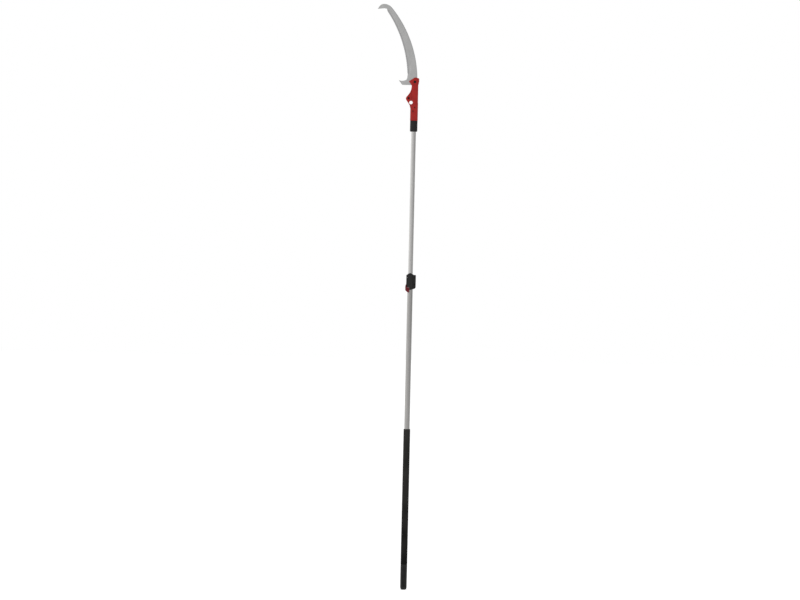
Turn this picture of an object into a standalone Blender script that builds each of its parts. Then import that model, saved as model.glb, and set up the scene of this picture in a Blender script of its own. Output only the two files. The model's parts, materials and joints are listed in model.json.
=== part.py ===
"""Telescopic pole saw: a curved pruning blade in a moulded head on a two-part oval aluminium pole.

The pole stands along +Z with its butt at the origin. The blade lies in the XZ plane and curves
towards -X, with its teeth on the concave edge. The front of the saw faces -Y. Sizes are in metres.
"""

from math import ceil, cos, degrees, hypot, pi, radians, sin, sqrt, tan

import bmesh
import bpy
from mathutils import Matrix, Vector

# Gaps
SEAT_GAP = 0.0003
SLIDE_GAP = 0.0003
HAND_GAP = 0.0008

# Oval tubes: a circle of the tube's radius drawn out sideways, so one tube can't turn in the other
OVAL_STRETCH = 0.0044
INNER_TUBE_WIDTH = 0.0220
INNER_TUBE_WALL = 0.0012
OUTER_TUBE_WALL = 0.0012
INNER_TUBE_RADIUS = (INNER_TUBE_WIDTH - OVAL_STRETCH) / 2
OUTER_TUBE_BORE = INNER_TUBE_RADIUS + SLIDE_GAP
OUTER_TUBE_RADIUS = OUTER_TUBE_BORE + OUTER_TUBE_WALL

# Lengths along the pole, from the butt up
BUTT_CAP_LENGTH = 0.1180
BUTT_CAP_SPIGOT = 0.0300
BUTT_DOME_HEIGHT = 0.0120
OUTER_TUBE_LENGTH = 1.3277
GRIP_LENGTH = 0.6367
TUBE_OVERLAP = 0.6260
EXPOSED_INNER_TUBE = 0.6650

# Rounding of a moulded edge
MOULD_EDGE = 0.0010

# Grip and butt cap
GRIP_THICKNESS = 0.0028
BUTT_CAP_STEP = 0.0001
BUTT_FLAT_RADIUS = 0.0050
RECESS_WIDTH = 0.0125
RECESS_FLOOR_WIDTH = 0.0060
RECESS_DEPTH = 0.0050
RECESS_BOTTOM_MARGIN = 0.0026
RECESS_TOP_MARGIN = 0.0071

# Plug in the inner tube's lower end
PLUG_FLANGE = 0.0040
PLUG_SPIGOT = 0.0250

# Clamp, in its own frame: z is counted from the outer tube's upper end
CLAMP_WALL = 0.0024
CLAMP_TOP = 0.0340
EAR_BOTTOM = -0.0250
EAR_DEPTH = 0.0110
EAR_SLIT = 0.0016
EAR_LIP = 0.0053
EAR_CHAMFER = 0.0060
EAR_ROUNDING = 0.0040
CLAMP_ROUNDING = 0.0015
SLEEVE_TAIL = 0.0130
SLEEVE_LIFT = -0.0235
BUSH_FLANGE_HEIGHT = 0.0077
BUSH_RIM = 0.0012
BUSH_CREST_X = -0.0010
BUSH_CREST_ROUNDING = 0.0060
CLAMP_SCREW_OUT = 0.0056
UPPER_SCREW_DROP = 0.0150
LOWER_SCREW_RISE = 0.0145
CHEEK_WALL = 0.0050
CHEEK_LIP = 0.0033
CHEEK_BOTTOM = -0.0160

# Lever, its cam and the plate that the cam presses on the inner tube
LEVER_WIDTH = 0.0100
LEVER_SIDE_GAP = 0.0003
LEVER_CHANNEL_WALL = 0.0015
LEVER_PIN_DROP = 0.0140
LEVER_PIN_RADIUS = 0.0012
LEVER_END = 0.0025
LEVER_FACE_SINK = 0.0005
LEVER_FLARE = 0.0180
LEVER_FLARE_ROUNDING = 0.0100
CAM_RADIUS = 0.0027
CAM_THROW = 0.00045
PLATE_THICKNESS = 0.00085
PLATE_WIDTH = 0.0080
PLATE_HEIGHT = 0.0140
PLATE_GAP = 0.0003
HOOD_OUT = 0.0041
HOOD_WRAP = -0.0040
HOOD_WALL = 0.0030
HOOD_DROP = 0.0007
HOOD_LENGTH = 0.0245
HOOD_SHOULDER = 0.0010
HOOD_CORNER = (0.0115, 0.0105)
HOOD_CORNER_ROUNDING = 0.0045
HOOD_BROW = 0.0045
HOOD_BROW_ROUNDING = 0.0080
HOOD_LIP_ROUNDING = 0.0020
HOOD_SIDE_ROUNDING = 0.0070

# Head, in its own frame: z is counted from the shoulder that the collar meets
SOCKET_WALL = 0.0068
SOCKET_ROOF = 0.0090
SOCKET_TAPER = 0.0400
SOCKET_SINK = 0.0040
NECK_WALL = 0.0033
NECK_LENGTH = 0.0384
COLLAR_WALL = 0.0025
COLLAR_LENGTH = 0.0511
COLLAR_ROUNDING = 0.0040
TUBE_SEAT = 0.0716
HEAD_LEFT = -0.0137
HEAD_RIGHT = 0.0173
HEAD_DEPTH = 0.0200
HEAD_EDGE = 0.0020
NECK_SWEEP = 0.0300
NECK_NOTCH_ROUNDING = 0.0120
HEAD_CORNER_ROUNDING = 0.0030
UPPER_SOCKET_SCREW = (0.0023, 0.0100)
LOWER_SOCKET_SCREW = (-0.0054, 0.0270)
HANGING_HOLE_X = -0.0155
HANGING_HOLE_RADIUS = 0.0085
HANGING_HOLE_WALL = 0.0052
LOCATING_PIN_X = 0.0016
LOCATING_PIN_RISE = 0.0620
LOCATING_PIN_RADIUS = 0.0020
LOCATING_PIN_LENGTH = 0.0110
BLADE_BOLT_X = 0.0008
BLADE_BOLT_RISE = 0.0488

# The head's boss, by its corners' distance from the blade's bolt, and their rounding
BOSS_BEAK = (-0.0280, 0.0023, 0.0022)
BOSS_CROWN = (0.0012, 0.0227, 0.0160)
BOSS_SHOULDER = (0.0202, 0.0161, 0.0030)
BOSS_SIDE = (0.0202, 0.0022, 0.0080)
BOSS_FOOT = -0.0158

# The head's wing: its screw and foot are counted from the hanging hole, its tip from that screw.
# The third value of a corner is its rounding
WING_DEPTH = 0.0140
WING_EDGE = 0.0018
WING_SCREW_OFFSET = (-0.0116, 0.0201)
WING_TIP_OFFSET = (-0.0155, -0.0008, 0.0110)
WING_FOOT_OFFSET = (-0.0064, -0.0113, 0.0080)
WING_WAIST = (0.0013, 0.0337)
WING_WAIST_ROUNDING = 0.0600
WING_TOP = 0.0026
WING_TAIL = (0.0037, 0.0156)
WING_ROOT_X = 0.0050

# Blade: its spine is an arc, upright at the bolt's height. Places along the blade are lengths of
# that arc from there, and widths and depths are measured square to it
BLADE_THICKNESS = 0.0015
SPINE_X = 0.0124
SPINE_RADIUS = 0.5387
SPINE_START = 0.0282
SPINE_END_DROP = 0.0159
SPINE_STEPS = 18
BLADE_WIDTH_HEEL = 0.0472
BLADE_WIDTH_MIDDLE = 0.0405
BLADE_WIDTH_TIP = 0.0280
TEETH_START = 0.0428
TEETH_LENGTH = 0.3388
TOOTH_DEPTH = 0.0030
TOOTH_PITCH = 0.0043
TOOTH_LEAN = 0.32
TOOTH_BEVEL = 0.0012

# The hook at the blade's tip, by its corners' places past the spine's end, their depths inside it
# and their rounding
TIP_HOOK_THROAT = (0.0234, 0.0223, 0.0020)
TIP_HOOK_BELLY = (0.0329, 0.0292, 0.0120)
TIP_HOOK_POINT = (0.0535, 0.0545, 0.0006)
TIP_HOOK_BACK = (0.0599, 0.0267, 0.0260)
TIP_HOOK_CROWN = (0.0326, -0.0010, 0.0480)

# The tang, and the hook at the heel by its corners' distance from the toothed edge's lower end and
# their rounding
TANG_LEFT = -0.0084
TANG_RIGHT = 0.0116
TANG_TAIL = 0.0160
TANG_FILLET = 0.0040
TANG_CORNER = 0.0030
TANG_SHOULDER = 0.0200
TANG_SHOULDER_ROUNDING = 0.0100
HOOK_HEEL_DROP = 0.0149
HEEL_HOOK_UNDERSIDE = 0.0251
HEEL_HOOK_KEEL_ROUNDING = 0.0060
HEEL_HOOK_POINT = (-0.0416, 0.0216, 0.0005)
HEEL_HOOK_BELLY = (-0.0236, 0.0183, 0.0300)
HEEL_HOOK_CROOK = (-0.0034, 0.0251, 0.0130)

# Between these two depths below the tang's shoulder, the head's pocket widens to the spine
POCKET_LEAD = (0.0100, 0.0040)

# Fasteners: radii of the shank and the head, the head's height, and the nut's width and height
M6_BOLT = {"shank": 0.0030, "head": 0.0050, "crown": 0.0036, "nut": 0.0100, "nut_height": 0.0050}
M5_SCREW = {"shank": 0.0025, "head": 0.00475, "crown": 0.00275, "nut": 0.0080, "nut_height": 0.0040}
M4_SCREW = {"shank": 0.0020, "head": 0.0038, "crown": 0.0026, "nut": 0.0070, "nut_height": 0.0032}
M3_SCREW = {"shank": 0.0015, "head": 0.0026, "crown": 0.0020, "nut": 0.0055, "nut_height": 0.0024}
WASHER_RADIUS = 0.0055
WASHER_THICKNESS = 0.0012
HEAD_SINK = 0.0002
SCREW_DOME = 0.3
SCREW_CHAMFER = 0.3

# The least rounding of an outline's corner
FINE_CORNER = 0.0005

# Smoothness of round shapes
ROUND_SIDES = 20
BORE_SIDES = 32
OVAL_STEPS = 12
BEVEL_STEPS = 4

# Half the length of cutters that run right through
FAR = 0.3

COLOURS = {
    "aluminium": ((0.77, 0.77, 0.76), 0.34, 1.0),
    "blade_steel": ((0.78, 0.78, 0.78), 0.32, 1.0),
    "bright_steel": ((0.69, 0.69, 0.67), 0.32, 1.0),
    "black_steel": ((0.15, 0.13, 0.13), 0.42, 0.8),
    "red_plastic": ((0.67, 0.13, 0.11), 0.38, 0.0),
    "dark_red_plastic": ((0.44, 0.08, 0.11), 0.36, 0.0),
    "black_plastic": ((0.13, 0.13, 0.12), 0.60, 0.0),
    "black_rubber": ((0.15, 0.15, 0.14), 0.85, 0.0),
}


def clear_scene():
    for obj in list(bpy.data.objects):
        bpy.data.objects.remove(obj, do_unlink=True)
    for collection in list(bpy.data.collections):
        bpy.data.collections.remove(collection)


def new_collection(name):
    collection = bpy.data.collections.new(name)
    bpy.context.scene.collection.children.link(collection)
    return collection


clear_scene()
PARTS = new_collection("pole_saw")
CUTTERS = new_collection("cutters")


def srgb_to_linear(value):
    return value / 12.92 if value <= 0.04045 else ((value + 0.055) / 1.055) ** 2.4


def material(name):
    found = bpy.data.materials.get(name)
    if found:
        return found
    colour, roughness, metallic = COLOURS[name]
    made = bpy.data.materials.new(name)
    made.use_nodes = True
    shader = made.node_tree.nodes["Principled BSDF"]
    linear = [srgb_to_linear(value) for value in colour]
    shader.inputs["Base Color"].default_value = (*linear, 1.0)
    shader.inputs["Roughness"].default_value = roughness
    shader.inputs["Metallic"].default_value = metallic
    made.diffuse_color = (*linear, 1.0)
    return made


def new_object(name, mesh, frame=None):
    """An object that helps to shape others. It joins the saw when as_part() names its material."""
    obj = bpy.data.objects.new(name, mesh)
    obj.parent = frame
    obj.hide_render = True
    obj.display_type = "WIRE"
    CUTTERS.objects.link(obj)
    return obj


def bake(obj):
    """Applies the modifiers of obj to its mesh."""
    bpy.context.view_layer.update()
    evaluated = obj.evaluated_get(bpy.context.evaluated_depsgraph_get())
    mesh = bpy.data.meshes.new_from_object(evaluated)
    obj.modifiers.clear()
    obj.data = mesh


def as_part(obj, material_name):
    bake(obj)
    obj.data.shade_smooth()
    obj.data.set_sharp_from_angle(angle=radians(32))
    obj.data.materials.clear()
    obj.data.materials.append(material(material_name))
    CUTTERS.objects.unlink(obj)
    PARTS.objects.link(obj)
    obj.hide_render = False
    obj.display_type = "TEXTURED"
    return obj


def new_frame(name, location):
    empty = bpy.data.objects.new(name, None)
    empty.location = location
    empty.empty_display_size = 0.05
    PARTS.objects.link(empty)
    return empty


def move_origin(obj, x, y, z):
    """Puts the origin of obj on its joint's axis and leaves its shape where it is."""
    obj.data.transform(Matrix.Translation((-x, -y, -z)))
    obj.location = (x, y, z)


def combine(obj, others, operation):
    for other in others:
        modifier = obj.modifiers.new(operation.lower() + "_" + other.name, "BOOLEAN")
        modifier.operation = operation
        modifier.solver = "EXACT"
        modifier.object = other
    return obj


def cut(obj, *others):
    return combine(obj, others, "DIFFERENCE")


def join(obj, *others):
    return combine(obj, others, "UNION")


def keep_inside(obj, *others):
    return combine(obj, others, "INTERSECT")


def circle(x, z, radius, sides=ROUND_SIDES):
    turns = [2 * pi * (side + 0.5) / sides for side in range(sides)]
    return [(x + radius * cos(turn), z + radius * sin(turn)) for turn in turns]


def hexagon(x, z, across_flats):
    return circle(x, z, across_flats / sqrt(3), 6)


def arc(centre, radius, start, end, steps):
    """Points from start to end, both in degrees, along an arc."""
    turns = [radians(start + (end - start) * step / steps) for step in range(steps + 1)]
    return [(centre[0] + radius * cos(turn), centre[1] + radius * sin(turn)) for turn in turns]


def rounded(corners, step=12.0):
    """An outline through corners (x, z, radius), each turned with an arc of its radius."""
    points = []
    for index, (x, z, radius) in enumerate(corners):
        corner = Vector((x, z))
        back = (Vector(corners[index - 1][:2]) - corner).normalized()
        ahead = (Vector(corners[(index + 1) % len(corners)][:2]) - corner).normalized()
        if radius == 0:
            points.append((x, z))
            continue
        half = back.angle(ahead) / 2
        turn = pi - 2 * half
        if back.cross(ahead) > 0:
            turn = -turn
        centre = corner + (back + ahead).normalized() * radius / sin(half)
        spoke = corner + back * radius / tan(half) - centre
        count = max(2, ceil(abs(degrees(turn)) / step))
        for place in range(count + 1):
            angle = turn * place / count
            points.append(
                (
                    centre.x + spoke.x * cos(angle) - spoke.y * sin(angle),
                    centre.y + spoke.x * sin(angle) + spoke.y * cos(angle),
                )
            )
    return points


def corners_at(points):
    """Points as corners that rounded() leaves sharp."""
    return [(x, z, 0) for x, z in points]


def plate(name, loops, depth, frame, edge=0.0):
    """A flat shape in the XZ plane, centred on y = 0, from its outline and any inner loops."""
    curve = bpy.data.curves.new(name, "CURVE")
    curve.dimensions = "2D"
    curve.fill_mode = "BOTH"
    curve.extrude = depth / 2 - edge
    curve.bevel_depth = edge
    curve.bevel_resolution = 1
    curve.offset = -edge
    for loop in loops:
        spline = curve.splines.new("POLY")
        spline.points.add(len(loop) - 1)
        for point, (x, z) in zip(spline.points, loop):
            point.co = (x, z, 0, 1)
        spline.use_cyclic_u = True
    flat = bpy.data.objects.new(name, curve)
    CUTTERS.objects.link(flat)
    graph = bpy.context.evaluated_depsgraph_get()
    mesh = bpy.data.meshes.new_from_object(flat.evaluated_get(graph))
    bpy.data.objects.remove(flat)
    solid = bmesh.new()
    solid.from_mesh(mesh)
    bmesh.ops.remove_doubles(solid, verts=solid.verts, dist=0.000002)
    bmesh.ops.dissolve_limit(
        solid, angle_limit=radians(0.5), verts=solid.verts, edges=solid.edges, delimit=set()
    )
    bmesh.ops.recalc_face_normals(solid, faces=solid.faces)
    solid.to_mesh(mesh)
    solid.free()
    mesh.transform(Matrix.Rotation(radians(90), 4, "X"))
    return new_object(name, mesh, frame)


def block(name, x_range, y_range, z_range, frame):
    solid = bmesh.new()
    bmesh.ops.create_cube(solid, size=1.0)
    ranges = (x_range, y_range, z_range)
    for vert in solid.verts:
        vert.co = [low + (co + 0.5) * (high - low) for co, (low, high) in zip(vert.co, ranges)]
    mesh = bpy.data.meshes.new(name)
    solid.to_mesh(mesh)
    solid.free()
    return new_object(name, mesh, frame)


def rod(name, centre, radius, y_range, frame, sides=ROUND_SIDES):
    """A round bar along Y through the point centre of the XZ plane."""
    low, high = y_range
    obj = plate(name, [circle(*centre, radius, sides)], high - low, frame)
    obj.data.transform(Matrix.Translation((0, (low + high) / 2, 0)))
    return obj


def hex_bar(name, centre, across_flats, y_range, frame):
    low, high = y_range
    obj = plate(name, [hexagon(*centre, across_flats)], high - low, frame)
    obj.data.transform(Matrix.Translation((0, (low + high) / 2, 0)))
    return obj


def turned(name, profile, centre, y_sign, frame):
    """A fastener turned about an axis along Y from a profile of (radius, y), its outer end first."""
    mesh = bpy.data.meshes.new(name)
    heights = [y_sign * y for _, y in profile]
    verts = [(radius, 0, height) for (radius, _), height in zip(profile, heights)]
    mesh.from_pydata(verts, [(index, index + 1) for index in range(len(verts) - 1)], [])
    obj = new_object(name, mesh, frame)
    screw = obj.modifiers.new("turn", "SCREW")
    screw.steps = ROUND_SIDES
    screw.render_steps = ROUND_SIDES
    screw.use_merge_vertices = True
    screw.merge_threshold = 0.00001
    obj.location = (centre[0], 0, centre[1])
    obj.rotation_euler = (y_sign * -pi / 2, 0, 0)
    return obj


def oval(radius):
    """Points round an oval of the tubes' kind, whose ends have this radius."""
    points = []
    for side in (1, -1):
        for step in range(OVAL_STEPS + 1):
            turn = pi * (step / OVAL_STEPS - 0.5)
            points.append((side * (OVAL_STRETCH / 2 + radius * cos(turn)), side * radius * sin(turn)))
    return points


def oval_sweep(name, profile, frame, ring):
    """Carries a profile of (end radius, z) round the oval.

    A ring's profile is a closed loop. Any other runs from its lower to its upper end, and both
    ends are filled.
    """
    solid = bmesh.new()
    rows = [[solid.verts.new((x, y, z)) for x, y in oval(radius)] for radius, z in profile]
    pairs = list(zip(rows, rows[1:]))
    if ring:
        pairs.append((rows[-1], rows[0]))
    for lower, upper in pairs:
        for index in range(len(lower)):
            after = (index + 1) % len(lower)
            solid.faces.new((lower[index], lower[after], upper[after], upper[index]))
    if not ring:
        solid.faces.new(reversed(rows[0]))
        solid.faces.new(rows[-1])
    bmesh.ops.recalc_face_normals(solid, faces=solid.faces)
    mesh = bpy.data.meshes.new(name)
    solid.to_mesh(mesh)
    solid.free()
    return new_object(name, mesh, frame)


def oval_tube(name, inner, outer, bottom, top, frame=None):
    profile = [(outer, bottom), (outer, top), (inner, top), (inner, bottom)]
    return oval_sweep(name, profile, frame, ring=True)


def oval_bar(name, radius, bottom, top, frame=None):
    return oval_sweep(name, [(radius, bottom), (radius, top)], frame, ring=False)


# Places that follow from the lengths
OUTER_TUBE_BOTTOM = BUTT_CAP_LENGTH + SEAT_GAP
CLAMP_Z = OUTER_TUBE_BOTTOM + OUTER_TUBE_LENGTH
BUSH_TOP = CLAMP_TOP + SEAT_GAP + BUSH_FLANGE_HEIGHT
COLLAR_BOTTOM = -SEAT_GAP - COLLAR_LENGTH
HEAD_Z = CLAMP_Z + BUSH_TOP + EXPOSED_INNER_TUBE - COLLAR_BOTTOM
INNER_TUBE_BOTTOM = CLAMP_Z - TUBE_OVERLAP - HEAD_Z
SLEEVE_BORE = OUTER_TUBE_RADIUS + SEAT_GAP
SLEEVE_RADIUS = SLEEVE_BORE + CLAMP_WALL
GRIP_BORE = OUTER_TUBE_RADIUS + SEAT_GAP
GRIP_RADIUS = GRIP_BORE + GRIP_THICKNESS
SOCKET_BORE = INNER_TUBE_RADIUS + SEAT_GAP
SOCKET_RADIUS = SOCKET_BORE + SOCKET_WALL
NECK_RADIUS = SOCKET_BORE + NECK_WALL
COLLAR_BORE = NECK_RADIUS + SEAT_GAP
COLLAR_RADIUS = COLLAR_BORE + COLLAR_WALL

# Places in the clamp's frame
CAM_EDGE = OVAL_STRETCH / 2 + INNER_TUBE_RADIUS + SEAT_GAP + PLATE_THICKNESS + PLATE_GAP
LEVER_PIN_X = -(CAM_EDGE + CAM_RADIUS + CAM_THROW)
LEVER_PIN_Z = CLAMP_TOP - LEVER_PIN_DROP
CHEEK_REACH = CHEEK_LIP - LEVER_PIN_X
CHEEK_DEPTH = LEVER_WIDTH + 2 * (LEVER_SIDE_GAP + CHEEK_WALL)
HOOD_REACH = CHEEK_REACH + HOOD_OUT
HOOD_TOP = SLEEVE_LIFT - HOOD_DROP
HOOD_BOTTOM = HOOD_TOP - HOOD_LENGTH
CLAMP_BOTTOM = EAR_BOTTOM - SLEEVE_TAIL
CLAMP_SCREW_X = OVAL_STRETCH / 2 + SLEEVE_RADIUS + CLAMP_SCREW_OUT
CLAMP_SCREW_HEIGHTS = {"upper": CLAMP_TOP - UPPER_SCREW_DROP, "lower": EAR_BOTTOM + LOWER_SCREW_RISE}
EAR_REACH = CLAMP_SCREW_X + EAR_LIP

# Places in the head's frame
SOCKET_TOP = TUBE_SEAT + SOCKET_ROOF
SOCKET_SCREWS = {
    "upper": (UPPER_SOCKET_SCREW[0], TUBE_SEAT - UPPER_SOCKET_SCREW[1]),
    "lower": (LOWER_SOCKET_SCREW[0], TUBE_SEAT - LOWER_SOCKET_SCREW[1]),
}
HANGING_HOLE = (HANGING_HOLE_X, TUBE_SEAT + HANGING_HOLE_WALL + HANGING_HOLE_RADIUS)
LOCATING_PIN = (LOCATING_PIN_X, TUBE_SEAT + LOCATING_PIN_RISE)
BLADE_BOLT = (BLADE_BOLT_X, LOCATING_PIN[1] + BLADE_BOLT_RISE)
TANG_BOTTOM = LOCATING_PIN[1] - TANG_TAIL
HOOK_HEEL = BLADE_BOLT[1] - HOOK_HEEL_DROP


def beside(place, offset):
    """The point at an offset from a place, with the rounding that a corner's offset ends with."""
    return (place[0] + offset[0], place[1] + offset[1], *offset[2:])


WING_SCREW = beside(HANGING_HOLE, WING_SCREW_OFFSET)

upper_pole = new_frame("upper_pole", (0, 0, HEAD_Z))
clamp = new_frame("clamp", (0, 0, CLAMP_Z))


def make_outer_tube():
    tube = oval_tube("outer_tube", OUTER_TUBE_BORE, OUTER_TUBE_RADIUS, OUTER_TUBE_BOTTOM, CLAMP_Z)
    as_part(tube, "aluminium")


def make_grip():
    bottom = BUTT_CAP_LENGTH + SEAT_GAP
    top = bottom + GRIP_LENGTH
    edge = GRIP_THICKNESS / 3
    profile = [
        (GRIP_BORE, bottom),
        (GRIP_RADIUS - edge, bottom),
        (GRIP_RADIUS, bottom + edge),
        (GRIP_RADIUS, top - edge),
        (GRIP_RADIUS - edge, top),
        (GRIP_BORE, top),
    ]
    as_part(oval_sweep("grip_sleeve", profile, None, ring=True), "black_rubber")


def make_butt_cap():
    radius = GRIP_RADIUS - BUTT_CAP_STEP
    dome = []
    for step in range(7):
        turn = pi / 2 * step / 6
        out = BUTT_FLAT_RADIUS + (radius - BUTT_FLAT_RADIUS) * sin(turn)
        dome.append((out, BUTT_DOME_HEIGHT * (1 - cos(turn))))
    spigot = OUTER_TUBE_BORE - SEAT_GAP
    shoulder = [
        (radius, BUTT_CAP_LENGTH),
        (spigot, BUTT_CAP_LENGTH),
        (spigot, BUTT_CAP_LENGTH + BUTT_CAP_SPIGOT),
    ]
    cap = oval_sweep("butt_cap", dome + shoulder, None, ring=False)
    for side in (-1, 1):
        cut(cap, recess_cutter(side, radius))
    as_part(cap, "black_plastic")


def recess_cutter(side, radius):
    """The round-ended hollow in one face of the cap, narrower at its floor."""
    solid = bmesh.new()
    bottom = BUTT_DOME_HEIGHT + RECESS_BOTTOM_MARGIN
    top = BUTT_CAP_LENGTH - RECESS_TOP_MARGIN
    middle = (bottom + top) / 2
    slope = (RECESS_WIDTH - RECESS_FLOOR_WIDTH) / RECESS_DEPTH
    rows = []
    for depth in (-RECESS_DEPTH / 5, RECESS_DEPTH):
        end_radius = (RECESS_WIDTH - slope * depth) / 2
        reach = (top - bottom - RECESS_WIDTH) / 2
        row = []
        for end in (1, -1):
            for x, z in arc((0, 0), end_radius, 0, 180, 8):
                y = side * (radius - depth)
                row.append(solid.verts.new((end * x, y, middle + end * (reach + z))))
        rows.append(row)
    for index in range(len(rows[0])):
        after = (index + 1) % len(rows[0])
        solid.faces.new((rows[0][index], rows[0][after], rows[1][after], rows[1][index]))
    solid.faces.new(rows[0])
    solid.faces.new(rows[1])
    bmesh.ops.recalc_face_normals(solid, faces=solid.faces)
    mesh = bpy.data.meshes.new("recess")
    solid.to_mesh(mesh)
    solid.free()
    return new_object("recess", mesh)


def make_inner_tube():
    bore = INNER_TUBE_RADIUS - INNER_TUBE_WALL
    top = TUBE_SEAT - SEAT_GAP
    tube = oval_tube("inner_tube", bore, INNER_TUBE_RADIUS, INNER_TUBE_BOTTOM, top, upper_pole)
    for place, centre in SOCKET_SCREWS.items():
        radius = M3_SCREW["shank"] + SEAT_GAP
        cut(tube, rod("tube_hole_" + place, centre, radius, (-FAR, FAR), upper_pole))
    as_part(tube, "aluminium")


def make_inner_tube_plug():
    bore = INNER_TUBE_RADIUS - INNER_TUBE_WALL
    flange_top = INNER_TUBE_BOTTOM - SEAT_GAP
    bottom = flange_top - PLUG_FLANGE
    spigot = bore - SEAT_GAP
    profile = [
        (INNER_TUBE_RADIUS - MOULD_EDGE, bottom),
        (INNER_TUBE_RADIUS, bottom + MOULD_EDGE),
        (INNER_TUBE_RADIUS, flange_top),
        (spigot, flange_top),
        (spigot, flange_top + PLUG_SPIGOT),
    ]
    plug = oval_sweep("inner_tube_plug", profile, upper_pole, ring=False)
    as_part(plug, "black_plastic")


def screw_profile(size, head_out, length):
    """From the head's crown at head_out, counted outward from y = 0, to the shank's tip."""
    seat = head_out - size["crown"]
    dome = size["crown"] * SCREW_DOME
    chamfer = size["shank"] * SCREW_CHAMFER
    tip = seat - length
    return [
        (0, head_out),
        (size["head"] - dome, head_out - dome / 4),
        (size["head"], head_out - dome),
        (size["head"], seat),
        (size["shank"], seat),
        (size["shank"], tip + chamfer),
        (size["shank"] - chamfer, tip),
        (0, tip),
    ]


def make_screw(name, size, centre, face, head_side, frame, slab=0.0, colour="black_steel"):
    """A screw whose head lies just under the face at |y| = face, and its nut on the other side.

    slab is the thickness of a washer under the head. It returns the cutter for the shank's hole,
    the head's counterbore and the nut's pocket.
    """
    head_out = face - HEAD_SINK
    seat = head_out - size["crown"]
    nut_out = face - HEAD_SINK
    nut_in = nut_out - size["nut_height"]
    length = seat + nut_out
    profile = [(radius, head_side * y) for radius, y in screw_profile(size, head_out, length)]
    screw = turned(name, profile, centre, head_side, frame)
    as_part(screw, colour)
    nut_range = sorted((-head_side * nut_in, -head_side * nut_out))
    nut_name = name.replace("screw", "nut").replace("bolt", "nut")
    loops = [hexagon(*centre, size["nut"]), circle(*centre, size["shank"] + SEAT_GAP)]
    nut = plate(nut_name, loops, nut_range[1] - nut_range[0], frame)
    nut.data.transform(Matrix.Translation((0, sum(nut_range) / 2, 0)))
    as_part(nut, colour)
    floor = seat - slab - SEAT_GAP
    shank = rod(name + "_hole", centre, size["shank"] + SEAT_GAP, (-FAR, FAR), frame)
    bore_radius = max(size["head"], WASHER_RADIUS if slab else 0) + 2 * SEAT_GAP
    bore_range = sorted((head_side * floor, head_side * FAR))
    bore = rod(name + "_counterbore", centre, bore_radius, bore_range, frame, BORE_SIDES)
    pocket_range = sorted((-head_side * (nut_in - SEAT_GAP), -head_side * FAR))
    pocket = hex_bar(nut_name + "_pocket", centre, size["nut"] + 3 * SEAT_GAP, pocket_range, frame)
    return [shank, bore, pocket]


def blade_point(along, inside):
    """A point by its place along the blade and its distance from the spine."""
    turn = along / SPINE_RADIUS
    radius = SPINE_RADIUS - inside
    return (SPINE_X - SPINE_RADIUS + radius * cos(turn), BLADE_BOLT[1] + radius * sin(turn))


def blade_width(along):
    """From the spine to the tips of the teeth, through the widths at heel, middle and tip."""
    part = (along - TEETH_START) / TEETH_LENGTH
    heel = BLADE_WIDTH_HEEL * (1 - part) * (1 - 2 * part)
    middle = BLADE_WIDTH_MIDDLE * 4 * part * (1 - part)
    return heel + middle + BLADE_WIDTH_TIP * part * (2 * part - 1)


def tooth_places():
    """Where each tooth begins along the blade. They share the toothed edge out evenly."""
    edge_length = TEETH_LENGTH * (1 - BLADE_WIDTH_MIDDLE / SPINE_RADIUS)
    count = round(edge_length / TOOTH_PITCH)
    return [TEETH_START + TEETH_LENGTH * tooth / count for tooth in range(count + 1)]


def tooth_tips():
    places = tooth_places()
    starts = zip(places, places[1:])
    tips = [start + (end - start) * TOOTH_LEAN for start, end in starts]
    return [blade_point(along, blade_width(along)) for along in tips]


def tooth_line():
    """The toothed edge from the heel up: a root, then a tip that leans to the heel, and so on."""
    roots = [blade_point(along, blade_width(along) - TOOTH_DEPTH) for along in tooth_places()]
    outline = [roots[0]]
    for tip, root in zip(tooth_tips(), roots[1:]):
        outline += [tip, root]
    return outline


def grind_teeth(mesh):
    """Lowers each tip on one face of the blade, left and right in turn, as the grinding does."""
    centre = Vector((SPINE_X - SPINE_RADIUS, BLADE_BOLT[1]))
    for tooth, tip in enumerate(tooth_tips()):
        outward = (Vector(tip) - centre).normalized() * TOOTH_BEVEL
        for vert in mesh.vertices:
            at_tip = hypot(vert.co.x - tip[0], vert.co.z - tip[1]) < TOOTH_DEPTH / 10
            if at_tip and (vert.co.y > 0) == (tooth % 2 == 0):
                vert.co.x += outward.x
                vert.co.z += outward.y


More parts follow.
